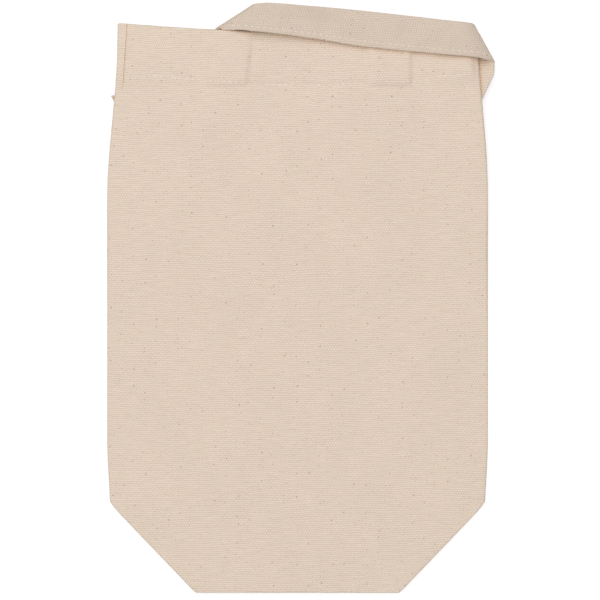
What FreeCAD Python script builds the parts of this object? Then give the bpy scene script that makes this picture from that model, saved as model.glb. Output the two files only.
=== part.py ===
import FreeCAD, Part
import math
import os

# A bottle carrier of cotton canvas, folded flat and lying on its back, in millimetres.
# The origin is on the back's outer face, at the middle of the bottom fold.
# +X is to the right, +Y runs up to the mouth and +Z is up, towards the front.

# The bag
base_width = 90.0
base_depth = 78.0
bag_height = 250.0
canvas = 0.75
ply_gap = 0.15
fold_nose = 0.8
hem_depth = 23.0
mouth_draw_in = 4.3
draw_in_height = 75.0
draw_in_run = 57.0
seam_lap_width = 4.0
seam_lap_length = 28.0

# The carry strap, with its angles in degrees from +X towards +Y
strap_width = 16.5
strap_thickness = 1.4
front_end_inset = 13.7
front_end_angle = 81.0
band_angle = -6.3
wrap_line_angle = -60.6
return_angle = 105.0

# How the upper cloth settles over what lies beneath it
base_clear = 4.0
base_settle_run = 17.0
tail_clear = 10.0
back_ramp_run = 22.0
front_ramp_run = 52.0
hem_clear = 3.0

# Plan of the flat bag
half_base = base_width / 2
half_depth = base_depth / 2
half_width = half_base + half_depth
half_mouth = half_width - mouth_draw_in
widest = half_width + fold_nose
draw_in_start = bag_height - draw_in_height
draw_in_end = draw_in_start + draw_in_run
hem_low = bag_height - hem_depth
split_gap = ply_gap / 2

# Undersides of the layers at the base, from the back up
base_back_z = canvas + ply_gap
base_front_z = base_back_z + canvas + ply_gap
front_base_z = base_front_z + canvas + ply_gap

# Undersides of the layers at the mouth, from the strap's lower run up
return_z = strap_thickness + ply_gap
back_mouth_z = return_z + strap_thickness + ply_gap
back_hem_z = back_mouth_z + canvas + ply_gap
strap_end_z = back_hem_z + canvas + ply_gap
front_hem_z = strap_end_z + strap_thickness + ply_gap
front_mouth_z = front_hem_z + canvas + ply_gap
band_z = front_mouth_z + canvas + ply_gap

# The same layers at the side edges, where no strap lies between the hems
side_hem_z = back_hem_z + canvas + ply_gap
side_mouth_z = side_hem_z + canvas + ply_gap
side_band_z = side_mouth_z + canvas + ply_gap


def turned(angle, length=1.0):
    """A step of the given length in plan, at an angle in degrees."""
    a = math.radians(angle)
    return FreeCAD.Vector(length * math.cos(a), length * math.sin(a), 0)


def crossing(p, p_angle, q, q_angle):
    """Where two lines in plan meet, each given by a point and an angle."""
    d = turned(p_angle)
    e = turned(q_angle)
    across = d.x * e.y - d.y * e.x
    s = ((q.x - p.x) * e.y - (q.y - p.y) * e.x) / across
    return p + d * s


# The strap's route in plan: where it folds, and the angle of each fold's line
mouth_edge = bag_height + fold_nose
fold_angle = (front_end_angle + band_angle) / 2
half_fold = strap_width / 2 / math.sin(math.radians(front_end_angle - fold_angle))
front_end = FreeCAD.Vector(front_end_inset - half_base, hem_low, 0)
fold_rise = mouth_edge + ply_gap + half_fold * math.sin(math.radians(fold_angle)) - hem_low
fold_point = front_end + turned(front_end_angle, fold_rise / math.sin(math.radians(front_end_angle)))
bag_corner = FreeCAD.Vector(half_mouth + fold_nose + ply_gap, mouth_edge, 0)
wrap_point = crossing(fold_point, band_angle, bag_corner, wrap_line_angle)
leg_angle = 2 * wrap_line_angle - band_angle
edge_reach = strap_width / 2 / math.sin(math.radians(return_angle))
edge_point = FreeCAD.Vector(half_base - ply_gap - edge_reach, mouth_edge + ply_gap, 0)
turn_point = crossing(wrap_point, leg_angle, edge_point, return_angle)
turn_line_angle = (leg_angle + return_angle) / 2
back_end = crossing(edge_point, -return_angle, FreeCAD.Vector(0, hem_low, 0), 0)

# Heights along the bag where the cloth changes level
tail_low = turn_point.y - tail_clear
back_ramp_low = tail_low - back_ramp_run
front_ramp_low = tail_low - front_ramp_run
base_top = half_depth + base_clear
hem_ramp_top = hem_low - hem_clear


def closed_wire(points):
    return Part.Wire(Part.makePolygon(points + points[:1]))


def plan_prism(outline):
    """An upright prism through the whole stack, over an outline in plan."""
    low = -1.0
    high = band_z + 2 * strap_thickness + 1.0
    face = Part.Face(closed_wire([FreeCAD.Vector(x, y, low) for x, y in outline]))
    return face.extrude(FreeCAD.Vector(0, 0, high - low))


def sheet_profile(stations):
    """The cut edge of a canvas sheet: its underside at each (y, z) station, and its top above it."""
    top = [(y, z + canvas) for y, z in reversed(stations)]
    return list(stations) + top


def run_across(x_start, start, x_end, end):
    """A ruled solid along X from one (y, z) profile to another."""
    first = closed_wire([FreeCAD.Vector(x_start, y, z) for y, z in start])
    last = closed_wire([FreeCAD.Vector(x_end, y, z) for y, z in end])
    return Part.makeLoft([first, last], True, True)


def at_widest(corner_z, mouth_side_z):
    """A level at the bag's widest, on the line from the box's corner through the mouth's side."""
    slope = (mouth_side_z - corner_z) / (half_mouth - half_base)
    return corner_z + slope * (widest - half_base)


widest_mouth_z = at_widest(front_mouth_z, side_mouth_z)


def front_stations(mouth_z):
    """The underside of the front, from the bottom fold to the mouth."""
    return [
        (0, front_base_z),
        (base_top, front_base_z),
        (base_top + base_settle_run, base_back_z),
        (front_ramp_low, base_back_z),
        (tail_low, back_hem_z),
        (hem_ramp_top, mouth_z),
        (bag_height, mouth_z),
    ]


back_stations = [(0, 0), (back_ramp_low, 0), (tail_low, back_mouth_z), (bag_height, back_mouth_z)]


def mouth_fold(low, high):
    """The rounded edge past a panel's end, where its canvas turns into the hem."""
    soft = canvas / 2
    return [(bag_height, low), (mouth_edge, low + soft), (mouth_edge, high - soft), (bag_height, high)]


def front_hem_profile(hem_z):
    hem_top = hem_z + canvas
    strip = [(bag_height, hem_top), (hem_low, hem_top), (hem_low, hem_z)]
    return mouth_fold(hem_z, hem_top + ply_gap + canvas) + strip


def side_plan(side, inset):
    """One side wall's half in plan, from the box's corner out to the side fold."""
    inner = half_base + inset
    return [
        (side * inner, inset),
        (side * half_width, half_depth),
        (side * half_width, draw_in_start),
        (side * half_mouth, draw_in_end),
        (side * half_mouth, mouth_edge),
        (side * inner, mouth_edge),
    ]


def bag_plan():
    right = side_plan(1, 0)[:5]
    left = side_plan(-1, 0)[:5]
    return right + left[::-1]


def back_panel():
    profile = sheet_profile(back_stations)
    return run_across(-half_width, profile, half_width, profile).common(plan_prism(bag_plan()))


def back_hem():
    hem_top = back_hem_z + canvas
    strip = [(hem_low, hem_top), (hem_low, back_hem_z), (bag_height, back_hem_z)]
    profile = mouth_fold(back_mouth_z, hem_top) + strip
    return run_across(-half_mouth, profile, half_mouth, profile)


def folded_base_profile():
    """The base's two halves, one on the other, joined by the fold along the base's middle."""
    soft = canvas / 2
    top = base_front_z + canvas
    return [
        (0, base_back_z),
        (half_depth, base_back_z),
        (half_depth + fold_nose, base_back_z + soft),
        (half_depth + fold_nose, top - soft),
        (half_depth, top),
        (0, top),
        (0, base_front_z),
        (half_depth, base_front_z),
        (half_depth, base_back_z + canvas),
        (0, base_back_z + canvas),
    ]


def base_panel():
    """The folded base, with the bottom fold that joins it to the back."""
    soft = canvas / 2
    high = base_back_z + canvas
    bottom_fold = [(-fold_nose, high - soft), (-fold_nose, soft), (0, 0)]
    profile = folded_base_profile() + bottom_fold
    reach = half_base - split_gap
    return run_across(-reach, profile, reach, profile)


def corner_fold(side):
    """The lower triangle of a side wall, folded in at 45 degrees beside the base."""
    profile = folded_base_profile()
    block = run_across(side * half_base, profile, side * half_width, profile)
    inner = half_base + split_gap
    high = half_depth + fold_nose
    outline = [(inner, split_gap), (half_width, half_depth), (half_width, high), (inner, high)]
    return block.common(plan_prism([(side * x, y) for x, y in outline]))


def side_fold(side):
    """The rounded edge of the flat bag, from the back round to the front."""
    top_centre = [(y, z + canvas) for y, z in reversed(front_stations(front_mouth_z))]
    top_side = [(y, z + canvas) for y, z in reversed(front_stations(widest_mouth_z))]
    block = run_across(side * half_base, back_stations + top_centre, side * widest, back_stations + top_side)
    edge = [
        (half_width, half_depth),
        (half_width, draw_in_start),
        (half_mouth, draw_in_end),
        (half_mouth, bag_height),
    ]
    outer = [(x + fold_nose, y) for x, y in reversed(edge)]
    return block.common(plan_prism([(side * x, y) for x, y in edge + outer]))


def front_panel():
    profile = sheet_profile(front_stations(front_mouth_z))
    reach = half_base - split_gap
    return run_across(-reach, profile, reach, profile)


def front_hem():
    profile = front_hem_profile(front_hem_z)
    reach = half_base - split_gap
    return run_across(-reach, profile, reach, profile)


def side_run(side, centre, outermost):
    """Cloth on the front half of a side wall, between its profiles at the corner and at the edge."""
    block = run_across(side * half_base, centre, side * widest, outermost)
    return block.common(plan_prism(side_plan(side, split_gap)))


def front_side(side):
    centre = sheet_profile(front_stations(front_mouth_z))
    outermost = sheet_profile(front_stations(widest_mouth_z))
    return side_run(side, centre, outermost)


def front_side_hem(side):
    centre = front_hem_profile(front_hem_z)
    outermost = front_hem_profile(at_widest(front_hem_z, side_hem_z))
    return side_run(side, centre, outermost)


def seam_lap():
    """The seam's turned edge, lying on the front at the left of the hem."""
    low = bag_height - seam_lap_length
    lift = canvas + ply_gap
    centre = sheet_profile([(y, z + lift) for y, z in front_stations(front_mouth_z)])
    outermost = sheet_profile([(y, z + lift) for y, z in front_stations(widest_mouth_z)])
    block = run_across(-half_base, centre, -widest, outermost)
    inner = half_mouth - seam_lap_width
    outline = [(-half_mouth, low), (-half_mouth, bag_height), (-inner, bag_height), (-inner, low)]
    return block.common(plan_prism(outline))


def leg_corners(start, start_line, end, end_line):
    """A straight length of strap in plan: its corners on the fold lines at its two ends."""
    angle = math.degrees(math.atan2(end.y - start.y, end.x - start.x))
    side_step = turned(angle + 90, strap_width / 2)
    corners = []
    for step in (side_step * -1, side_step):
        corners.append(crossing(start + step, angle, start, start_line))
        corners.append(crossing(start + step, angle, end, end_line))
    right_start, right_end, left_start, left_end = corners
    return [right_start, right_end, left_end, left_start]


def leg(start, start_line, end, end_line, z):
    lift = FreeCAD.Vector(0, 0, z)
    corners = leg_corners(start, start_line, end, end_line)
    face = Part.Face(closed_wire([corner + lift for corner in corners]))
    return face.extrude(FreeCAD.Vector(0, 0, strap_thickness))


def bend(first, second, outward, low_z, high_z):
    """A fold from the strap's layer at low_z up to the one at high_z, along a line in plan."""
    inner = (high_z - low_z - strap_thickness) / 2
    outer = inner + strap_thickness
    centre = first + FreeCAD.Vector(0, 0, low_z + outer)
    out = turned(outward)
    up = FreeCAD.Vector(0, 0, 1)
    outside = Part.Arc(centre - up * outer, centre + out * outer, centre + up * outer).toShape()
    inside = Part.Arc(centre + up * inner, centre + out * inner, centre - up * inner).toShape()
    ends = [
        Part.makeLine(centre + up * outer, centre + up * inner),
        Part.makeLine(centre - up * inner, centre - up * outer),
    ]
    ring = Part.Face(Part.Wire([outside, ends[0], inside, ends[1]]))
    return ring.extrude(second - first)


def one_solid(first, *others):
    return first.multiFuse(list(others)).removeSplitter()


def strap_front_run():
    """The sewn end in the front hem, the diagonal fold and the band across the mouth."""
    end = leg(front_end, 0, fold_point, fold_angle, strap_end_z)
    band_outline = leg_corners(fold_point, fold_angle, wrap_point, wrap_line_angle)
    band = leg(fold_point, fold_angle, wrap_point, wrap_line_angle, band_z)
    reach = half_base - split_gap
    left = min(corner.x for corner in band_outline) - 1.0
    bottom = min(corner.y for corner in band_outline) - 1.0
    top = max(corner.y for corner in band_outline) + 1.0
    band = band.common(plan_prism([(left, bottom), (reach, bottom), (reach, top), (left, top)]))
    fold = bend(band_outline[0], band_outline[3], fold_angle + 90, strap_end_z, band_z)
    return one_solid(end, fold, band)


def strap_side_run():
    """The band from the box's corner out to the right edge, coming down with the half wall."""
    outline = leg_corners(fold_point, fold_angle, wrap_point, wrap_line_angle)
    low_start, low_end, high_end, high_start = outline
    x_start = FreeCAD.Vector(half_base + split_gap, 0, 0)
    low = crossing(low_start, band_angle, x_start, 90)
    high = crossing(high_start, band_angle, x_start, 90)
    faces = []
    for first, second, z in ((low, high, band_z), (low_end, high_end, side_band_z)):
        foot = FreeCAD.Vector(0, 0, z)
        head = FreeCAD.Vector(0, 0, z + strap_thickness)
        faces.append(closed_wire([first + foot, second + foot, second + head, first + head]))
    return Part.makeLoft(faces, True, True)


def strap_back_run():
    """The strap round the right edge and down behind the back."""
    outline = leg_corners(wrap_point, wrap_line_angle, turn_point, turn_line_angle)
    down = leg(wrap_point, wrap_line_angle, turn_point, turn_line_angle, 0)
    wrap = bend(outline[0], outline[3], wrap_line_angle + 90, 0, side_band_z)
    return one_solid(wrap, down)


def strap_return_run():
    """The strap folded back up behind the back, over its edge and into the back hem."""
    outline = leg_corners(turn_point, turn_line_angle, edge_point, 0)
    up = leg(turn_point, turn_line_angle, edge_point, 0, return_z)
    turn = bend(outline[0], outline[3], turn_line_angle - 90, 0, return_z)
    over = bend(outline[1], outline[2], 90, return_z, strap_end_z)
    end = leg(edge_point, 0, back_end, 0, strap_end_z)
    return one_solid(turn, up, over, end)


pieces = {
    "back_panel": back_panel(),
    "back_hem": back_hem(),
    "base_panel": base_panel(),
    "left_corner_fold": corner_fold(-1),
    "right_corner_fold": corner_fold(1),
    "left_side_fold": side_fold(-1),
    "right_side_fold": side_fold(1),
    "front_panel": front_panel(),
    "front_hem": front_hem(),
    "left_front_side": front_side(-1),
    "right_front_side": front_side(1),
    "left_front_hem": front_side_hem(-1),
    "right_front_hem": front_side_hem(1),
    "left_seam_lap": seam_lap(),
    "strap_front_run": strap_front_run(),
    "strap_side_run": strap_side_run(),
    "strap_back_run": strap_back_run(),
    "strap_return_run": strap_return_run(),
}

os.makedirs("parts", exist_ok=True)
for name, shape in pieces.items():
    shape.exportStep(f"parts/{name}.step")
    state = "valid" if shape.isValid() else "not valid"
    print(name, len(shape.Solids), "solid", state, round(shape.Volume, 1))
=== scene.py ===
import math

import bpy
import numpy as np
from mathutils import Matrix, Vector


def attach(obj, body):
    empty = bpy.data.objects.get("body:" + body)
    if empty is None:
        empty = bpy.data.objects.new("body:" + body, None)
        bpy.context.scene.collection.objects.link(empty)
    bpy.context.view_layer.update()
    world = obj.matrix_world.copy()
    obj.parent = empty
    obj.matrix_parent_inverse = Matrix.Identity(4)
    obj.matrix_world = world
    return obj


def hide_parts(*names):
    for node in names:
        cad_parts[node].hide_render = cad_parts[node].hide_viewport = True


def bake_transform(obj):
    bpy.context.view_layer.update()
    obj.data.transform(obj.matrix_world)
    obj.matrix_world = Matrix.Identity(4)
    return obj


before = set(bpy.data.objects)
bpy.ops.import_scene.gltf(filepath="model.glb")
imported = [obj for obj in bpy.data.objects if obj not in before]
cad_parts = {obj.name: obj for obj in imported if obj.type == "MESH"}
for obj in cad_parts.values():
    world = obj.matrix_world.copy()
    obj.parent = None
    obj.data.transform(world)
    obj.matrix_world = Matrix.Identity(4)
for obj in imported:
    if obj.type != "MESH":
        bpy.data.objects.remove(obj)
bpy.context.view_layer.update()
bpy.ops.object.select_all(action="DESELECT")


# The canvas tube
# One length of unbleached cotton duck sewn into a tube, turned in at the mouth as a hem and closed by a
# base of 90 by 78 mm. Folded flat, its side walls are halved and its lower corners go in at 45 degrees.
# All lengths here are in millimetres, and become metres as a mesh is made.

mm = 0.001
# The cloth's thickness, and the room that each layer takes in the stack
canvas = 0.75
ply = 0.9
half_base = 45.0
half_depth = 39.0
hem_depth = 24.2
bottom_fold = 0.7
edge_reach = 84.6
turn_down = 79.0
half_flat = half_base + half_depth
mouth_low = 248.4
mouth_sag = 4.2
stitch_drop = 21.2
strap_stack = 3.1


def step(t, start, end):
    """0 before start and 1 after end, easing in and out between them."""
    s = np.clip((t - start) / (end - start), 0, 1)
    return s * s * (3 - 2 * s)


def ramp(t, start, end, soft):
    """0 before start and 1 after end, straight between them, with soft corners of that length."""
    def corner(d):
        return (d + np.sqrt(d * d + soft * soft)) / 2
    return (corner(t - start) - corner(t - end)) / (end - start)


def hump(t, start, end, soft):
    """1 between start and end, falling to 0 over the soft length at each side."""
    return step(t, start - soft / 2, start + soft / 2) * (1 - step(t, end - soft / 2, end + soft / 2))


def mouth_line(x):
    """The mouth's edge, which sags between its corners and is pulled down at the right by the strap."""
    pull = 0.9 * step(x, 58, 78)
    return mouth_low + mouth_sag * (np.abs(x - 2) / 80) ** 1.6 - pull


def stitch_line(x):
    """The row of stitches that holds the hem. It sags a little more than the mouth's edge, and dips beside
    the strap end at the right."""
    sag = 2.2 * (1 - (np.abs(x) / 80) ** 2)
    dip = 1.2 * hump(x, 44, 58, 16)
    return mouth_line(x) - stitch_drop - sag - dip


def back_level(x, y):
    """The middle of the back's cloth, lifted near the mouth by the two layers of strap beneath it."""
    return canvas / 2 + strap_stack * ramp(y, 152, 174, 6) + 0 * x


def strap_end_lift(x, y):
    """The two places where a sewn strap end lies under the front's hem."""
    lean = x - 0.1 * (y - 226)
    left = hump(lean, -40.2, -22.6, 1.8)
    right = hump(x, 31.3, 50.0, 1.8)
    return (left + right) * step(y, 224.3, 226.3) * (1 - 0.3 * step(y, 238, 248))


def corner_tuck(x, y):
    """The fold at the mouth's right corner, where the strap's pull raises a crease beside the edge and the
    cloth falls from it to the edge."""
    past_crease = x - 76.3 - 0.16 * (237 - y)
    ridge = 1.6 * np.exp(-(np.minimum(past_crease, 0) / 8) ** 2) * hump(y, 228, 239, 10)
    fall = 0.8 + 0.4 * hump(y, 224, 238, 8)
    tuck = ridge - (ridge + fall) * ramp(past_crease, 0, 3, 1.0)
    return tuck * step(x, 62, 70) * step(y, 222, 232)


def front_level(x, y):
    """The middle of the front's cloth, over the folded base, the strap and the hems, with the pucker along
    the stitches, a crease beside the strap's left end and the slack cloth's soft waves."""
    base = 1.8 * (1 - ramp(y, 43, 60, 10))
    over_strap = strap_stack * ramp(y, 122, 174, 14)
    mouth = 2.75 - 0.95 * ramp(np.abs(x), 45, 78, 6)
    over_hem = (mouth - 0.45) * ramp(y, 174, 222, 10) + 0.45 * step(y, 224.5, 228.5)
    inner = 1 - step(np.abs(x), 55, 74)
    pucker = -0.22 * np.exp(-((y - stitch_line(x)) / 0.9) ** 2)
    crease = -0.25 * np.exp(-((x + 13.5 + 0.06 * (y - 226)) / 1.4) ** 2) * hump(y, 227, 242, 6)
    waves = 0.11 * np.sin(x / 9.5 + 0.6) * np.sin(y / 17 + 1.0) + 0.09 * np.sin(x / 5.8 - y / 12)
    waves = waves * inner * step(y, 20, 60)
    lift = strap_end_lift(x, y) + 0.6 * np.exp(-((x + 31) / 5) ** 2 - ((y - 248.5) / 3.5) ** 2)
    level = canvas / 2 + ply + base + over_strap + over_hem + lift
    return level + (pucker + crease) * inner + waves + corner_tuck(x, y)


def side_reach(y, side):
    """Half the flat bag's width, which draws in towards the mouth."""
    if side > 0:
        drawn = 6.0 * ramp(y, 191, 252, 12) + 1.8 * step(y, 238, 254)
    else:
        drawn = 4.9 * ramp(y, 186, 234, 10)
    return edge_reach - drawn - 1.35 * (1 - step(y, 34, 68))


def fold_reach(y, side):
    """How far the side fold stands out past where the front starts to turn down."""
    full = (front_level(side * turn_down, y) - back_level(0, y)) / 2
    return np.minimum(full, ply / 2 + 0.05 * np.maximum(y - 46, 0))


def across(a, y):
    """The place across the flat bag of a column that is cut at a, drawn in with the side fold."""
    side = np.where(a < 0, -1, 1)
    out = np.maximum(np.abs(a) - half_base, 0) / half_depth
    right = side_reach(y, 1) - canvas / 2 - fold_reach(y, 1)
    left = side_reach(y, -1) - canvas / 2 - fold_reach(y, -1)
    reach = np.where(a < 0, left, right)
    return np.where(out > 0, side * (half_base + out * (reach - half_base)), a)


def outline_low(a):
    """The flat bag's lower outline: the bottom fold, the 45 degree folds and their rounded ends."""
    out = np.maximum(np.abs(a) - half_base, 0)
    return bottom_fold + out + 0.8 * (np.maximum(out - 35, 0) / 4) ** 2


def outline_turn(a):
    """The way the lower outline faces, in degrees from straight down towards the side."""
    out = np.maximum(np.abs(a) - half_base, 0) / half_depth
    return 45 * step(out, 0, 0.06) + 35 * step(out, 0.86, 1.0)


def linear(hex_colour):
    """An sRGB hex colour as linear red, green, blue and alpha."""
    parts = [int(hex_colour[i:i + 2], 16) / 255 for i in (1, 3, 5)]
    return [c / 12.92 if c <= 0.04045 else ((c + 0.055) / 1.055) ** 2.4 for c in parts] + [1.0]


def add_node(tree, kind, inputs=(), **settings):
    """Adds a node with its settings. An input is a value, or another node's output to link to."""
    made = tree.nodes.new(kind)
    for name, value in settings.items():
        setattr(made, name, value)
    for socket, value in dict(inputs).items():
        if isinstance(value, bpy.types.NodeSocket):
            tree.links.new(value, made.inputs[socket])
        else:
            made.inputs[socket].default_value = value
    return made


def new_material(name):
    """A new material, with its nodes and its main shader."""
    material = bpy.data.materials.new(name)
    material.use_nodes = True
    return material, material.node_tree, material.node_tree.nodes["Principled BSDF"]


def flecks(tree, place, ground, cell, least, size, depth):
    """Brown bits of cotton seed on a ground colour: at most one to a cell, and none in a cell whose chance
    is below the least."""
    bits = add_node(tree, "ShaderNodeTexVoronoi", {"Vector": place, "Scale": 1 / cell},
                    voronoi_dimensions="2D")
    chance = add_node(tree, "ShaderNodeSeparateColor", {0: bits.outputs["Color"]})
    reach = add_node(tree, "ShaderNodeMapRange",
                     {0: chance.outputs[0], 1: least, 2: 1.0, 3: 0.0, 4: size / cell})
    near = add_node(tree, "ShaderNodeMath", {0: reach.outputs[0], 1: bits.outputs["Distance"]},
                    operation="SUBTRACT")
    seen = add_node(tree, "ShaderNodeMapRange",
                    {0: near.outputs[0], 1: 0.0, 2: 0.75 * size / cell, 3: 0.0, 4: depth})
    mixed = add_node(tree, "ShaderNodeMix", {0: seen.outputs[0], 6: ground, 7: linear("#7A5F43")},
                     data_type="RGBA")
    return mixed.outputs[2]


def painted_crease_shade(tree, ground):
    """A cloth's colour with painted shade: browner and darker in the creases of what lies face up, found by
    ambient occlusion, standing in for the light that has already been through the cloth or off it."""
    open_sky = add_node(tree, "ShaderNodeAmbientOcclusion", {"Distance": 5 * mm}, samples=6)
    depth = add_node(tree, "ShaderNodeMapRange",
                     {0: open_sky.outputs["AO"], 1: 0.3, 2: 0.9, 3: 1.0, 4: 0.0})
    surface = add_node(tree, "ShaderNodeNewGeometry")
    facing = add_node(tree, "ShaderNodeSeparateXYZ", {0: surface.outputs["Normal"]})
    lying = add_node(tree, "ShaderNodeMapRange", {0: facing.outputs["Z"], 1: 0.3, 2: 0.9})
    share = add_node(tree, "ShaderNodeMath", {0: depth.outputs[0], 1: lying.outputs[0]},
                     operation="MULTIPLY")
    mixed = add_node(tree, "ShaderNodeMix", {0: share.outputs[0], 6: ground, 7: linear("#FFF1DE")},
                     data_type="RGBA", blend_type="MULTIPLY")
    return mixed.outputs[2]


def cotton_duck():
    """Unbleached cotton duck, plain woven from thick soft yarn: matt, cream, ribbed across by the weft,
    with paler and darker lengths of yarn and brown flecks of cotton seed."""
    weft_pitch = 0.93 * mm
    warp_pitch = 0.61 * mm
    material, tree, shader = new_material("cotton_duck")
    place = add_node(tree, "ShaderNodeUVMap", uv_map="cloth").outputs["UV"]
    drift = add_node(tree, "ShaderNodeTexNoise",
                     {"Vector": place, "Scale": 1 / (45 * mm), "Detail": 4.0, "Roughness": 0.6})
    swing = add_node(tree, "ShaderNodeVectorMath", {0: drift.outputs["Color"], 1: (0.5, 0.5, 0.5)},
                     operation="SUBTRACT")
    bent = add_node(tree, "ShaderNodeVectorMath",
                    {0: swing.outputs[0], 1: (3 * mm, 5 * mm, 0), 2: place}, operation="MULTIPLY_ADD")
    split = add_node(tree, "ShaderNodeSeparateXYZ", {0: bent.outputs[0]})
    warp = add_node(tree, "ShaderNodeMath", {0: split.outputs["X"], 1: math.pi / warp_pitch},
                    operation="MULTIPLY")
    weft = add_node(tree, "ShaderNodeMath", {0: split.outputs["Y"], 1: math.pi / weft_pitch},
                    operation="MULTIPLY")
    warp_wave = add_node(tree, "ShaderNodeMath", {0: warp.outputs[0]}, operation="SINE")
    weft_wave = add_node(tree, "ShaderNodeMath", {0: weft.outputs[0]}, operation="SINE")
    rib = add_node(tree, "ShaderNodeMath", {0: weft_wave.outputs[0]}, operation="ABSOLUTE")
    crossing = add_node(tree, "ShaderNodeMath", {0: warp_wave.outputs[0], 1: weft_wave.outputs[0]},
                        operation="MULTIPLY")
    weave = add_node(tree, "ShaderNodeMath",
                     {0: crossing.outputs[0], 1: 0.55, 2: rib.outputs[0]}, operation="MULTIPLY_ADD")
    along = add_node(tree, "ShaderNodeMapping",
                     {"Vector": place, "Scale": (1 / (7 * mm), 1 / weft_pitch, 1)})
    slub = add_node(tree, "ShaderNodeTexNoise",
                    {"Vector": along.outputs[0], "Scale": 1.0, "Detail": 3.0, "Roughness": 0.6})
    lint = add_node(tree, "ShaderNodeTexNoise",
                    {"Vector": place, "Scale": 1 / (0.8 * mm), "Detail": 3.0, "Roughness": 0.7})
    cloud = add_node(tree, "ShaderNodeTexNoise",
                     {"Vector": place, "Scale": 1 / (28 * mm), "Detail": 2.0})

    yarn = add_node(tree, "ShaderNodeValToRGB", {"Fac": weave.outputs[0]})
    yarn.color_ramp.elements[0].color = linear("#D1BDAA")
    yarn.color_ramp.elements[1].color = linear("#E7D6C6")
    tone = add_node(tree, "ShaderNodeMath", {0: slub.outputs["Fac"], 1: 0.22, 2: 0.89},
                    operation="MULTIPLY_ADD")
    fuzz = add_node(tree, "ShaderNodeMath", {0: lint.outputs["Fac"], 1: 0.22, 2: -0.11},
                    operation="MULTIPLY_ADD")
    patch = add_node(tree, "ShaderNodeMath", {0: cloud.outputs["Fac"], 1: 0.07, 2: -0.035},
                     operation="MULTIPLY_ADD")
    grain = add_node(tree, "ShaderNodeMath", {0: tone.outputs[0], 1: fuzz.outputs[0]}, operation="ADD")
    shade = add_node(tree, "ShaderNodeMath", {0: grain.outputs[0], 1: patch.outputs[0]}, operation="ADD")
    cream = add_node(tree, "ShaderNodeVectorMath", {0: yarn.outputs["Color"], 3: shade.outputs[0]},
                     operation="SCALE")

    specked = flecks(tree, bent.outputs[0], cream.outputs[0], 1.7 * mm, 0.45, 0.34 * mm, 0.36)
    seeded = flecks(tree, bent.outputs[0], specked, 5.2 * mm, 0.2, 0.45 * mm, 0.7)
    # The base colour carries painted shade, browner and darker in the creases
    tree.links.new(painted_crease_shade(tree, seeded), shader.inputs["Base Color"])

    raised = add_node(tree, "ShaderNodeMath", {0: lint.outputs["Fac"], 1: 0.5, 2: weave.outputs[0]},
                      operation="MULTIPLY_ADD")
    bump = add_node(tree, "ShaderNodeBump",
                    {"Height": raised.outputs[0], "Strength": 0.4, "Distance": 0.12 * mm})
    tree.links.new(bump.outputs[0], shader.inputs["Normal"])
    shader.inputs["Roughness"].default_value = 0.92
    shader.inputs["Specular IOR Level"].default_value = 0.2
    shader.inputs["Sheen Weight"].default_value = 0.08
    shader.inputs["Sheen Roughness"].default_value = 0.5
    return material


canvas_finish = cotton_duck()


# Back of the bag
# The half of the tube that lies on the surface, with the back halves of both side walls. Its hem is
# turned in, and below it carries on as the back half of the base and the lower corner triangles.

fold_steps = np.radians(np.linspace(0, 180, 9))

# Rows up the outer face: up to low_end they follow the lower outline, and past high_start the mouth
low_end = 60.0
high_start = 213.0
rows_up = np.concatenate([np.linspace(0, low_end, 25), np.linspace(low_end + 3, high_start, 51),
                          np.linspace(high_start + 0.7, 249.4, 52)])


def wall_rows(a, level, inner_z, hem_turn, inner_rows):
    """The points and flat places of one wall's cloth, in rows: the layer folded in under it, the bottom
    fold, the outer face, the mouth's fold and the hem."""
    a = np.asarray(a, float)
    side = np.where(a < 0, -1, 1)
    low = outline_low(a)
    turn = np.radians(outline_turn(a))
    x_low = across(a, low)
    z_low = level(x_low, low)
    radius = (z_low - inner_z) / 2
    points, flat = [], []

    inner_top = np.maximum(half_depth, low + 1)
    for share in np.linspace(0, 1, inner_rows, endpoint=False):
        y = inner_top + (low - inner_top) * share
        points.append((across(a, y), y, inner_z + 0 * a))
        flat.append((a, low - (y - low) - math.pi * ply / 2))
    for turned in fold_steps[:-1]:
        out = np.abs(radius) * math.sin(turned)
        x = x_low + side * np.sin(turn) * out
        y = low - np.cos(turn) * out
        points.append((x, y, inner_z + radius * (1 - math.cos(turned))))
        flat.append((a, low - (math.pi - turned) * ply / 2))

    top = mouth_line(across(a, 250.0)) - canvas / 2 - ply / 2
    for row in rows_up:
        y = np.where(row < low_end, low + (low_end - low) * row / low_end, row)
        above = (row - high_start) * (top - high_start) / (rows_up[-1] - high_start)
        y = np.where(row > high_start, high_start + above, y)
        x = across(a, y)
        points.append((x, y, level(x, y)))
        flat.append((a, y))
    for turned in fold_steps[1:]:
        x = across(a, top)
        z = level(x, top) + hem_turn * (1 - math.cos(turned)) / 2
        points.append((x, top + ply / 2 * math.sin(turned), z))
        flat.append((a, top + turned * ply / 2))
    for down in np.linspace(0, hem_depth, 15)[1:]:
        y = top - down
        x = across(a, y)
        points.append((x, y, level(x, y) + hem_turn))
        flat.append((a, top + math.pi * ply / 2 + down))
    return np.moveaxis(np.array(points), 1, 2), np.moveaxis(np.array(flat), 1, 2)


def use_alone(piece):
    """Makes a piece the only one selected, and active."""
    bpy.ops.object.select_all(action="DESELECT")
    piece.select_set(True)
    bpy.context.view_layer.objects.active = piece


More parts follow.
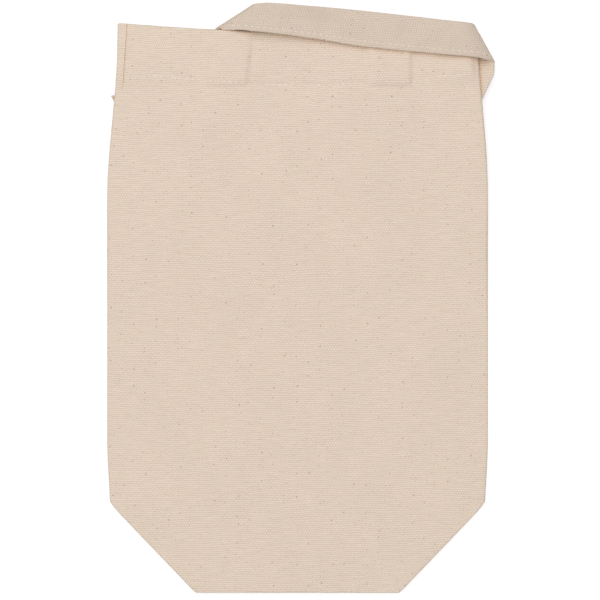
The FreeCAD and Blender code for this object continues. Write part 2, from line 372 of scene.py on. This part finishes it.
def sewn_sheet(name, patches, thickness, material):
    """A piece of cloth from grids of points and their flat places, with its real thickness."""
    vertices, faces, places = [], [], []
    for points, flat in patches:
        rows, columns = points.shape[:2]
        first = len(vertices)
        vertices.extend((points.reshape(-1, 3) * mm).tolist())
        places.extend((flat.reshape(-1, 2) * mm).tolist())
        for r in range(rows - 1):
            for c in range(columns - 1):
                corner = first + r * columns + c
                faces.append((corner, corner + 1, corner + columns + 1, corner + columns))
    mesh = bpy.data.meshes.new(name)
    mesh.from_pydata(vertices, [], faces)
    cloth_map = mesh.uv_layers.new(name="cloth")
    for loop in mesh.loops:
        cloth_map.data[loop.index].uv = places[loop.vertex_index]
    piece = bpy.data.objects.new(name, mesh)
    bpy.context.scene.collection.objects.link(piece)
    mesh.materials.append(material)
    use_alone(piece)
    bpy.ops.object.mode_set(mode="EDIT")
    bpy.ops.mesh.select_all(action="SELECT")
    bpy.ops.mesh.remove_doubles(threshold=0.001 * mm)
    bpy.ops.object.mode_set(mode="OBJECT")
    thick = piece.modifiers.new("thickness", "SOLIDIFY")
    thick.thickness = thickness * mm
    thick.offset = 0
    thick.use_even_offset = True
    bpy.ops.object.modifier_apply(modifier=thick.name)
    bpy.ops.object.shade_smooth()
    bpy.ops.object.mode_set(mode="EDIT")
    bpy.ops.mesh.select_mode(type="EDGE")
    bpy.ops.mesh.select_all(action="DESELECT")
    bpy.ops.mesh.edges_select_sharp(sharpness=math.radians(60))
    bpy.ops.mesh.mark_sharp()
    bpy.ops.object.mode_set(mode="OBJECT")
    return piece


columns_middle = np.linspace(-half_base, half_base, 91)
columns_right = np.linspace(half_base, half_flat, 40)
columns_left = -columns_right
columns_back = np.concatenate([columns_left[::-1], columns_middle[1:-1:3], columns_right])
corner_rows = 8
inner_back_z = canvas / 2 + ply
back_points, back_flat = wall_rows(columns_back, back_level, inner_back_z, ply, corner_rows)
back_cloth = sewn_sheet("back_cloth", [(back_points, back_flat)], canvas, canvas_finish)
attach(back_cloth, "back")
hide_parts("back_panel", "back_hem", "left_corner_fold", "right_corner_fold")


# Base, folded up inside
# The front half of the base, doubled back on the back half along the base's middle, so that the bag
# lies flat. Its front edge runs on into the bottom fold of the front.

inner_front_z = inner_back_z + ply


def base_rows():
    """The points and flat places of the base's front half, from its middle fold to the bottom fold."""
    points, flat = [], []
    a = columns_middle
    for turned in fold_steps:
        z = inner_back_z + ply * (1 - math.cos(turned)) / 2
        points.append((a, half_depth + ply / 2 * math.sin(turned) + 0 * a, z + 0 * a))
        flat.append((a, turned * ply / 2 + 0 * a))
    for y in np.linspace(half_depth, bottom_fold, 14)[1:]:
        points.append((a, y + 0 * a, inner_front_z + 0 * a))
        flat.append((a, math.pi * ply / 2 + half_depth - y + 0 * a))
    return np.moveaxis(np.array(points), 1, 2), np.moveaxis(np.array(flat), 1, 2)


base_cloth = sewn_sheet("base_cloth", [base_rows()], canvas, canvas_finish)
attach(base_cloth, "back")
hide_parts("base_panel")


# Front of the bag
# The middle of the front, between the two corners of the base, from the bottom fold up to the mouth
# and down inside as the hem. It lifts with the mouth.

front_points, front_flat = wall_rows(columns_middle, front_level, inner_front_z, -ply, 0)
front_cloth = sewn_sheet("front_cloth", [(front_points, front_flat)], canvas, canvas_finish)
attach(front_cloth, "front")
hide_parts("front_panel", "front_hem")


# Front halves of the side walls
# The same cloth carried on past the base's corners to the side folds and round them to the back.

lower_rows = corner_rows + len(fold_steps) - 1


def side_fold(front, back, flat, side):
    """The rounded edge from the front's last column round to the back's."""
    angles = np.radians(np.linspace(0, 180, 13))
    half = (front[:, 2] - back[:, 2]) / 2
    out = np.minimum(half, fold_reach(front[:, 1], side))
    points, places = [], []
    for turned in angles:
        share = (1 - math.cos(turned)) / 2
        x = front[:, 0] + (back[:, 0] - front[:, 0]) * share + side * out * math.sin(turned)
        y = front[:, 1] + (back[:, 1] - front[:, 1]) * share
        points.append((x, y, front[:, 2] - 2 * half * share))
        places.append((flat[:, 0] + side * turned * out, flat[:, 1]))
    return np.transpose(np.array(points), (2, 0, 1)), np.transpose(np.array(places), (2, 0, 1))


def bend_with_mouth(piece):
    """Bakes a piece's placement into its mesh."""
    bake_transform(piece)


for side_name, side, columns in (("left", -1, columns_left), ("right", 1, columns_right)):
    wall_points, wall_flat = wall_rows(columns, front_level, inner_front_z, -ply, corner_rows)
    back_column = 0 if side < 0 else -1
    edge = side_fold(wall_points[lower_rows:, -1], back_points[lower_rows:, back_column],
                     wall_flat[lower_rows:, -1], side)
    side_cloth = sewn_sheet(side_name + "_side_cloth", [(wall_points, wall_flat), edge], canvas,
                            canvas_finish)
    bend_with_mouth(side_cloth)
    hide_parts(side_name + "_front_side", side_name + "_front_hem",
                side_name + "_side_fold")


# Seam at the left edge
# The tube's one seam runs up the left edge. Beside the hem its turned edge shows as a strip on the
# front, and just below that a bit of its raw edge sticks out.

lap_thickness = 0.6
lap_length = 31.5


def lap_rows():
    """The strip's points and flat places: it lies on the front, rounds the side fold and sinks away at its
    lower end. It is cut from elsewhere in the cloth, so its flecks are its own."""
    points, flat = [], []
    top = mouth_line(-turn_down) - 0.3
    for y in np.linspace(top - lap_length, top, 40):
        turn_at = side_reach(y, -1) - canvas / 2 - fold_reach(y, -1)
        outer = side_reach(y, -1) - 0.25
        inner = 77.6 - 1.9 * (y - 223.5) / 28.5
        x = inner + (outer - inner) * np.linspace(0, 1, 15)
        past = np.clip((x - turn_at) / (fold_reach(y, -1) + canvas / 2), 0, 0.97)
        drop = fold_reach(y, -1) * (1 - np.sqrt(1 - past ** 2))
        sunk = (lap_thickness + 0.1) * (1 - step(y, top - lap_length, top - lap_length + 7))
        on = front_level(-np.minimum(x, turn_at), y + 0 * x) + canvas / 2 + lap_thickness / 2
        points.append((-x, y + 0 * x, on - drop - sunk))
        flat.append((-x - 3.3 * half_flat, y + 0 * x))
    return np.moveaxis(np.array(points), 1, 2), np.moveaxis(np.array(flat), 1, 2)


seam_lap = sewn_sheet("seam_strip", [lap_rows()], lap_thickness, canvas_finish)
bend_with_mouth(seam_lap)
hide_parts("left_seam_lap")

tab_edge = side_reach(219.5, -1)
tab_corners = np.array([[(-tab_edge + 1.5, 220.7, 4.4), (-tab_edge - 1.5, 220.6, 2.8)],
                        [(-tab_edge + 1.5, 217.6, 1.6), (-tab_edge + 0.1, 217.8, 1.2)]])
seam_tab = sewn_sheet("seam_tab", [(tab_corners, tab_corners[:, :, :2])], lap_thickness, canvas_finish)
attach(seam_tab, "back")


# Carry strap
# A strip of cotton folded double to 16.5 mm and sewn along one edge. One end is sewn in the front's
# hem; it folds over the mouth, lies across it, goes round the right edge and comes back up behind.

strap_width = 16.5
strap_thickness = 1.4


def through(points, per_span):
    """A smooth line through points, by centripetal Catmull-Rom spans."""
    points = np.array(points, float)
    ends = [2 * points[0] - points[1], *points, 2 * points[-1] - points[-2]]
    line = []
    for p0, p1, p2, p3 in zip(ends, ends[1:], ends[2:], ends[3:]):
        t1 = np.linalg.norm(p1 - p0) ** 0.5
        t2 = t1 + np.linalg.norm(p2 - p1) ** 0.5
        t3 = t2 + np.linalg.norm(p3 - p2) ** 0.5
        for t in np.linspace(t1, t2, per_span, endpoint=False):
            a1 = p0 + (p1 - p0) * t / t1
            a2 = p1 + (p2 - p1) * (t - t1) / (t2 - t1)
            a3 = p2 + (p3 - p2) * (t - t2) / (t3 - t2)
            b1 = a1 + (a2 - a1) * t / t2
            b2 = a2 + (a3 - a2) * (t - t1) / (t3 - t1)
            line.append(b1 + (b2 - b1) * (t - t1) / (t2 - t1))
    line.append(points[-1])
    return np.array(line)


def length_along(line):
    """How far along a line of points each point lies."""
    return np.concatenate([[0], np.cumsum(np.linalg.norm(np.diff(line, axis=0), axis=1))])


strap_shares = (1 - np.cos(np.linspace(0, math.pi, 37))) / 2


def strap_faces(stations, arch, start):
    """A strap's two faces between its lower and upper edges, which are given at stations along it.
    Returns the middle, the way out of its face, half its thickness and the flat places, as grids."""
    low = through([s[0] for s in stations], 8)
    high = through([s[1] for s in stations], 8)
    lift = np.interp(np.linspace(0, len(arch) - 1, len(low)), np.arange(len(arch)), arch)
    wide = high - low
    forward = np.gradient((low + high) / 2, axis=0)
    out = np.cross(forward, wide)
    out /= np.linalg.norm(out, axis=1)[:, None]
    t = strap_shares[None, :, None]
    middle = low[:, None] + wide[:, None] * t
    crown = (np.sin(math.pi * t ** 0.85) + 0.3 * np.exp(-((t - 0.56) / 0.08) ** 2)) * lift[:, None, None]
    middle = middle + out[:, None] * crown
    from_edge = np.minimum(strap_shares, 1 - strap_shares) * strap_width
    rounding = np.clip(1 - from_edge / (strap_thickness / 2), 0, 1)
    half = strap_thickness / 2 * np.sqrt(1 - rounding ** 2)
    run = length_along(low)[:, None] * (1 - strap_shares) + length_along(high)[:, None] * strap_shares
    flat = np.stack([start + run, strap_shares * strap_width + 0 * run], axis=2)
    return middle, out[:, None] + 0 * middle, half, flat


def strap_piece(name, faces, material):
    """The strap's closed mesh: its upper face, its lower face and its ends."""
    middle, out, half, flat = faces
    upper = middle + out * half[None, :, None]
    lower = (middle - out * half[None, :, None])[:, -2:0:-1]
    ring = np.concatenate([upper, lower], axis=1)
    inside = flat[:, -2:0:-1] * (1, -1) + (0, 2 * strap_width)
    places = np.concatenate([flat, inside], axis=1).reshape(-1, 2)
    around = ring.shape[1]
    faces_made = []
    last = (len(ring) - 1) * around
    for here in range(0, last, around):
        ahead = here + around
        for c in range(around):
            n = (c + 1) % around
            faces_made.append((here + c, ahead + c, ahead + n, here + n))
    faces_made.append(tuple(range(around)))
    faces_made.append(tuple(last + c for c in range(around - 1, -1, -1)))
    mesh = bpy.data.meshes.new(name)
    mesh.from_pydata((ring.reshape(-1, 3) * mm).tolist(), [], faces_made)
    cloth_map = mesh.uv_layers.new(name="cloth")
    for loop in mesh.loops:
        cloth_map.data[loop.index].uv = places[loop.vertex_index] * mm
    piece = bpy.data.objects.new(name, mesh)
    bpy.context.scene.collection.objects.link(piece)
    mesh.materials.append(material)
    use_alone(piece)
    bpy.ops.object.mode_set(mode="EDIT")
    bpy.ops.mesh.select_all(action="SELECT")
    bpy.ops.mesh.normals_make_consistent(inside=False)
    bpy.ops.object.mode_set(mode="OBJECT")
    bpy.ops.object.shade_smooth()
    return piece


def cotton_twill():
    """Cotton twill tape: fine slanting ridges, a little greyer and harder than the duck, with the same seed
    flecks. The face that lies inwards is painted paler, as painted light on the strap's tail behind the
    bag."""
    ridge_pitch = 0.78 * mm
    yarn_pitch = 0.72 * mm
    slant = math.radians(-38)
    material, tree, shader = new_material("cotton_twill")
    place = add_node(tree, "ShaderNodeUVMap", uv_map="cloth").outputs["UV"]
    turned = add_node(tree, "ShaderNodeMapping", {"Vector": place, "Rotation": (0, 0, -slant)})
    drift = add_node(tree, "ShaderNodeTexNoise", {"Vector": place, "Scale": 1 / (6 * mm), "Detail": 2.0})
    swing = add_node(tree, "ShaderNodeVectorMath", {0: drift.outputs["Color"], 1: (0.5, 0.5, 0.5)},
                     operation="SUBTRACT")
    bent = add_node(tree, "ShaderNodeVectorMath",
                    {0: swing.outputs[0], 1: (1.8 * mm, 1.4 * mm, 0), 2: turned.outputs[0]},
                    operation="MULTIPLY_ADD")
    split = add_node(tree, "ShaderNodeSeparateXYZ", {0: bent.outputs[0]})
    ridge_angle = add_node(tree, "ShaderNodeMath", {0: split.outputs["Y"], 1: math.pi / ridge_pitch},
                           operation="MULTIPLY")
    yarn_angle = add_node(tree, "ShaderNodeMath", {0: split.outputs["X"], 1: math.pi / yarn_pitch},
                          operation="MULTIPLY")
    ridge_wave = add_node(tree, "ShaderNodeMath", {0: ridge_angle.outputs[0]}, operation="SINE")
    yarn_wave = add_node(tree, "ShaderNodeMath", {0: yarn_angle.outputs[0]}, operation="SINE")
    ridge = add_node(tree, "ShaderNodeMath", {0: ridge_wave.outputs[0]}, operation="ABSOLUTE")
    beads = add_node(tree, "ShaderNodeMath", {0: yarn_wave.outputs[0], 1: ridge_wave.outputs[0]},
                     operation="MULTIPLY")
    weave = add_node(tree, "ShaderNodeMath", {0: beads.outputs[0], 1: 0.6, 2: ridge.outputs[0]},
                     operation="MULTIPLY_ADD")
    lint = add_node(tree, "ShaderNodeTexNoise",
                    {"Vector": place, "Scale": 1 / (0.6 * mm), "Detail": 3.0, "Roughness": 0.7})
    cloud = add_node(tree, "ShaderNodeTexNoise", {"Vector": place, "Scale": 1 / (9 * mm), "Detail": 3.0})
    fuzz = add_node(tree, "ShaderNodeMath", {0: lint.outputs["Fac"], 1: 0.3, 2: 0.78},
                    operation="MULTIPLY_ADD")
    tone = add_node(tree, "ShaderNodeMath", {0: cloud.outputs["Fac"], 1: 0.14, 2: fuzz.outputs[0]},
                    operation="MULTIPLY_ADD")
    across_strip = add_node(tree, "ShaderNodeSeparateXYZ", {0: place})
    edge = strap_width * mm
    # Painted light: the face that lies inwards is made a tenth paler, to brighten the strap's tail
    face = add_node(tree, "ShaderNodeMapRange",
                    {0: across_strip.outputs["Y"], 1: 0.98 * edge, 2: 1.02 * edge, 3: 1.0, 4: 1.1})
    painted_inside_light = add_node(tree, "ShaderNodeMath", {0: tone.outputs[0], 1: face.outputs[0]},
                     operation="MULTIPLY")
    yarn = add_node(tree, "ShaderNodeValToRGB", {"Fac": weave.outputs[0]})
    yarn.color_ramp.elements[0].color = linear("#C2B09F")
    yarn.color_ramp.elements[1].color = linear("#DECEBE")
    cream = add_node(tree, "ShaderNodeVectorMath", {0: yarn.outputs["Color"], 3: painted_inside_light.outputs[0]},
                     operation="SCALE")
    specked = flecks(tree, place, cream.outputs[0], 1.7 * mm, 0.4, 0.34 * mm, 0.4)
    seeded = flecks(tree, place, specked, 5.2 * mm, 0.1, 0.45 * mm, 0.65)
    # The base colour carries painted shade, browner and darker in the creases
    tree.links.new(painted_crease_shade(tree, seeded), shader.inputs["Base Color"])
    bump = add_node(tree, "ShaderNodeBump",
                    {"Height": weave.outputs[0], "Strength": 0.45, "Distance": 0.12 * mm})
    tree.links.new(bump.outputs[0], shader.inputs["Normal"])
    shader.inputs["Roughness"].default_value = 0.88
    shader.inputs["Specular IOR Level"].default_value = 0.25
    shader.inputs["Sheen Weight"].default_value = 0.08
    shader.inputs["Sheen Roughness"].default_value = 0.5
    return material


strap_finish = cotton_twill()

# Each station is a place on the strap's lower edge and on its upper edge, as (x, y, z). The arch is how far
# the strip's middle stands out past the straight line between them.
band_stations = [
    ((-40.4, 228.0, 5.6), (-22.8, 226.2, 5.6)),
    ((-39.5, 238.0, 5.6), (-22.0, 237.0, 5.6)),
    ((-38.7, 246.0, 5.6), (-21.2, 248.0, 5.6)),
    ((-37.6, 249.2, 5.7), (-20.3, 256.6, 5.8)),
    ((-35.6, 250.1, 6.3), (-19.6, 259.8, 6.2)),
    ((-34.3, 250.3, 7.4), (-19.0, 260.6, 7.4)),
    ((-33.2, 249.4, 8.5), (-17.4, 261.0, 9.1)),
    ((-29.5, 249.2, 9.1), (-13.6, 261.3, 10.5)),
    ((-25.4, 249.3, 10.2), (-10.4, 261.1, 11.4)),
    ((-20.0, 248.7, 10.9), (-5.8, 260.8, 11.8)),
    ((-8.0, 247.5, 10.6), (1.0, 260.2, 11.6)),
    ((10.0, 245.0, 9.7), (15.0, 259.1, 10.7)),
    ((26.0, 242.4, 9.1), (29.0, 257.8, 9.8)),
    ((42.0, 240.6, 9.5), (43.0, 256.3, 9.3)),
    ((58.0, 239.2, 8.7), (56.0, 254.9, 8.5)),
    ((70.0, 238.1, 8.9), (66.0, 253.8, 7.9)),
    ((79.2, 237.3, 8.6), (72.0, 253.2, 7.5)),
    ((83.4, 236.5, 7.3), (75.0, 252.9, 6.6)),
    ((86.2, 235.8, 5.7), (77.3, 252.5, 5.3)),
    ((87.2, 234.8, 4.7), (78.0, 251.6, 4.1)),
]
band_arch = [0, 0, 0, 0, 0, 0, 0, -0.2, -0.4, -0.55, -0.65, -0.65, -0.5, -0.5, -0.5, -0.4, -0.2, -0.1,
             0, 0]
back_stations = [
    ((87.2, 234.8, 4.7), (78.0, 251.6, 4.1)),
    ((87.3, 232.6, 4.7), (77.6, 249.0, 2.7)),
    ((87.1, 230.0, 4.9), (75.8, 245.2, 2.1)),
    ((86.2, 227.9, 4.9), (74.0, 241.4, 2.0)),
    ((83.1, 221.2, 3.8), (70.8, 235.0, 1.7)),
    ((78.6, 211.0, 1.5), (64.0, 219.0, 1.0)),
    ((72.0, 197.3, 0.8), (56.0, 202.0, 0.7)),
    ((67.2, 187.0, 0.7), (49.8, 188.8, 0.7)),
    ((66.5, 185.4, 0.95), (49.0, 187.0, 0.95)),
    ((66.3, 184.9, 1.475), (48.8, 186.4, 1.475)),
    ((66.2, 185.5, 2.0), (48.7, 187.2, 2.0)),
    ((65.6, 188.0, 2.25), (48.4, 189.2, 2.25)),
    ((60.8, 206.0, 2.25), (44.4, 204.0, 2.25)),
    ((55.4, 226.0, 2.25), (38.6, 226.0, 2.25)),
    ((50.6, 246.0, 2.25), (33.4, 246.0, 2.25)),
    ((49.4, 251.4, 2.4), (32.0, 251.4, 2.4)),
    ((49.2, 253.4, 3.9), (31.8, 253.4, 3.9)),
    ((49.2, 251.4, 5.4), (31.8, 251.4, 5.4)),
    ((49.2, 246.0, 5.6), (31.8, 246.0, 5.6)),
    ((49.2, 236.0, 5.6), (31.8, 236.0, 5.6)),
    ((49.2, 228.0, 5.6), (31.8, 228.0, 5.6)),
]

band_faces = strap_faces(band_stations, band_arch, 0)
band_length = band_faces[3][-1, :, 0].mean()
back_arch = [0, 0.3, 0.6, 0.6, 0.3] + [0] * (len(back_stations) - 5)
back_faces = strap_faces(back_stations, back_arch, band_length)

strap_band = strap_piece("strap_band", band_faces, strap_finish)
bend_with_mouth(strap_band)
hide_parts("strap_front_run", "strap_side_run")

strap_back = strap_piece("strap_back", back_faces, strap_finish)
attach(strap_back, "back")
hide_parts("strap_back_run", "strap_return_run")


# Sewing thread
# Ecru spun thread in a lockstitch of about 2.8 mm, pulled down into the cloth: one row round the hem
# and one along the strap near its lower edge.

stitch_pitch = 2.8
stitch_length = 2.1
thread_width = 0.5


def sewing_thread():
    """Spun cotton thread: two twisted plies, paler and smoother than the cloth."""
    ply_turn = 0.6 * mm
    material, tree, shader = new_material("spun_thread")
    place = add_node(tree, "ShaderNodeTexCoord").outputs["Object"]
    slanted = add_node(tree, "ShaderNodeMapping",
                       {"Vector": place, "Rotation": (0, 0, math.radians(40))})
    waves = 2 * math.pi / (20 * ply_turn)
    twist = add_node(tree, "ShaderNodeTexWave",
                     {"Vector": slanted.outputs[0], "Scale": waves, "Distortion": 1.0})
    tint = add_node(tree, "ShaderNodeValToRGB", {"Fac": twist.outputs["Fac"]})
    tint.color_ramp.elements[0].color = linear("#DFD2C3")
    tint.color_ramp.elements[1].color = linear("#EFE5D9")
    tree.links.new(tint.outputs[0], shader.inputs["Base Color"])
    shader.inputs["Roughness"].default_value = 0.7
    shader.inputs["Sheen Weight"].default_value = 0.1
    return material


thread_finish = sewing_thread()


def one_stitch():
    """The shape of a single stitch: a short round-ended length of thread, lying along X."""
    bpy.ops.object.select_all(action="DESELECT")
    bpy.ops.mesh.primitive_uv_sphere_add(segments=8, ring_count=6, radius=0.5)
    ball = bpy.context.object
    bpy.ops.object.mode_set(mode="EDIT")
    bpy.ops.mesh.select_all(action="SELECT")
    bpy.ops.transform.resize(value=(stitch_length, thread_width, thread_width * 0.8))
    bpy.ops.object.mode_set(mode="OBJECT")
    shape = np.array([v.co for v in ball.data.vertices])
    faces = [tuple(p.vertices) for p in ball.data.polygons]
    bpy.data.objects.remove(ball)
    return shape, faces


stitch_shape, stitch_faces = one_stitch()


def stitch_row(name, line, out):
    """A row of stitches along a line of points, each lying on the face that out points away from."""
    place = length_along(line)
    centres = np.arange(stitch_pitch / 2, place[-1], stitch_pitch)
    at = np.stack([np.interp(centres, place, line[:, k]) for k in range(3)], axis=1)
    up = np.stack([np.interp(centres, place, out[:, k]) for k in range(3)], axis=1)
    ahead = np.gradient(at, axis=0)
    ahead /= np.linalg.norm(ahead, axis=1)[:, None]
    beside = np.cross(up, ahead)
    vertices, faces = [], []
    for k in range(len(at)):
        first = len(vertices)
        turned = stitch_shape @ np.array([ahead[k], beside[k], up[k]])
        vertices.extend(((at[k] + turned) * mm).tolist())
        faces.extend(tuple(first + i for i in face) for face in stitch_faces)
    mesh = bpy.data.meshes.new(name)
    mesh.from_pydata(vertices, [], faces)
    piece = bpy.data.objects.new(name, mesh)
    bpy.context.scene.collection.objects.link(piece)
    mesh.materials.append(thread_finish)
    use_alone(piece)
    bpy.ops.object.shade_smooth()
    return piece


def hem_line(x_start, x_end, level, face):
    """Points along the hem's row of stitches on a wall's outer face."""
    x = np.linspace(x_start, x_end, 160)
    y = stitch_line(x)
    z = level(x, y) + face * canvas / 2
    return np.stack([x, y, z], axis=1), np.tile([0.0, 0.0, face], (len(x), 1))


hem_rows = {}
hem_rows["front"] = stitch_row("front_hem_thread", *hem_line(-half_base, half_base, front_level, 1))
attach(hem_rows["front"], "front")
for side_name, side in (("left", -1), ("right", 1)):
    row = stitch_row(side_name + "_hem_thread", *hem_line(side * half_base, side * 75, front_level, 1))
    bend_with_mouth(row)
    hem_rows[side_name] = row
hem_rows["back"] = stitch_row("back_hem_thread", *hem_line(-78, 78, back_level, -1))
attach(hem_rows["back"], "back")


def strap_line(faces, share, face):
    """Points along a strap's face, at a share of its width from the lower edge."""
    middle, out, half, _ = faces
    column = int(np.argmin(np.abs(strap_shares - share)))
    pulled = half[column] - 0.15
    return middle[:, column] + face * out[:, column] * pulled, face * out[:, column]


strap_row_share = 0.16
band_row = stitch_row("strap_band_thread", *strap_line(band_faces, strap_row_share, 1))
bend_with_mouth(band_row)
back_row = stitch_row("strap_back_thread", *strap_line(back_faces, strap_row_share, 1))
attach(back_row, "back")


# Studio
# A pale floor that shows white to the camera but for the object's shadow, one large soft lamp from the
# upper left, a fill that is brightest overhead and from the front, and the camera straight above.

floor_drop = 0.28 * mm
bag_middle = 0.13
bpy.ops.object.select_all(action="DESELECT")
bpy.ops.mesh.primitive_plane_add(size=8, location=(0, bag_middle, -floor_drop))
floor = bpy.context.object
floor.name = "floor"
# White paper: matt, plain white to the eye, and greyed only where the object keeps the light off it
paper, paper_tree, paper_shader = new_material("white_paper")
paper_shader.inputs["Base Color"].default_value = linear("#CFCFCF")
paper_shader.inputs["Roughness"].default_value = 1.0
paper_shader.inputs["Specular IOR Level"].default_value = 0.0


def seen_rays(tree):
    """1 for a ray that sees the set, straight or in a gloss or through something, and 0 for one that only
    brings light."""
    rays = add_node(tree, "ShaderNodeLightPath")
    mirrored = add_node(tree, "ShaderNodeMath",
                        {0: rays.outputs["Is Glossy Ray"], 1: rays.outputs["Is Transmission Ray"]},
                        operation="MAXIMUM")
    seen = add_node(tree, "ShaderNodeMath", {0: rays.outputs["Is Camera Ray"], 1: mirrored.outputs[0]},
                    operation="MAXIMUM")
    return seen.outputs[0]


paper_glow = 0.55
glow_level = add_node(paper_tree, "ShaderNodeMath", {0: seen_rays(paper_tree), 1: paper_glow},
                      operation="MULTIPLY")
glow = add_node(paper_tree, "ShaderNodeEmission", {"Strength": glow_level.outputs[0]})
both = add_node(paper_tree, "ShaderNodeAddShader", {0: paper_shader.outputs[0], 1: glow.outputs[0]})
paper_tree.links.new(both.outputs[0], paper_tree.nodes["Material Output"].inputs["Surface"])
floor.data.materials.append(paper)

world = bpy.data.worlds.new("studio")
bpy.context.scene.world = world
world.use_nodes = True
sky_tree = world.node_tree
sky = sky_tree.nodes["Background"]
sky_place = add_node(sky_tree, "ShaderNodeTexCoord")
sky_way = add_node(sky_tree, "ShaderNodeSeparateXYZ", {0: sky_place.outputs["Generated"]})
horizon_level = 0.2
overhead_level = 0.85
front_added = 0.4
sky_top = add_node(sky_tree, "ShaderNodeMapRange",
                   {0: sky_way.outputs["Z"], 3: horizon_level, 4: overhead_level})
sky_front = add_node(sky_tree, "ShaderNodeMapRange",
                     {0: sky_way.outputs["Y"], 1: 0.0, 2: -1.0, 3: 0.0, 4: front_added})
sky_fill = add_node(sky_tree, "ShaderNodeMath", {0: sky_top.outputs[0], 1: sky_front.outputs[0]},
                    operation="ADD")
sky_level = add_node(sky_tree, "ShaderNodeMapRange",
                     {0: seen_rays(sky_tree), 3: sky_fill.outputs[0], 4: 1.0})
sky_tree.links.new(sky_level.outputs[0], sky.inputs["Strength"])
sky.inputs["Color"].default_value = linear("#FFFFFF")

aim = np.array([0.0, bag_middle, 0.0])
lamp_place = np.array([-0.45, 1.05, 1.65])
lamp_data = bpy.data.lights.new("soft_box", "AREA")
lamp_data.shape = "SQUARE"
lamp_data.size = 1.9
lamp_data.energy = 17.5
lamp = bpy.data.objects.new("soft_box", lamp_data)
bpy.context.scene.collection.objects.link(lamp)
lamp.location = lamp_place
lamp.rotation_mode = "QUATERNION"
lamp.rotation_quaternion = Vector(aim - lamp_place).to_track_quat("-Z", "Y")

photo_pixel = 0.444
photo_centre = (1.1, 129.9)
photo_pixels = 600
camera_height = 1.6
film_width = 36
focus_level = 3 * mm
camera_data = bpy.data.cameras.new("camera")
camera_data.sensor_width = film_width
camera_data.lens = film_width * camera_height / (photo_pixels * photo_pixel * mm)
camera = bpy.data.objects.new("camera", camera_data)
bpy.context.scene.collection.objects.link(camera)
camera.location = (photo_centre[0] * mm, photo_centre[1] * mm, camera_height + focus_level)
bpy.context.scene.camera = camera
bpy.context.scene.view_settings.view_transform = "Standard"
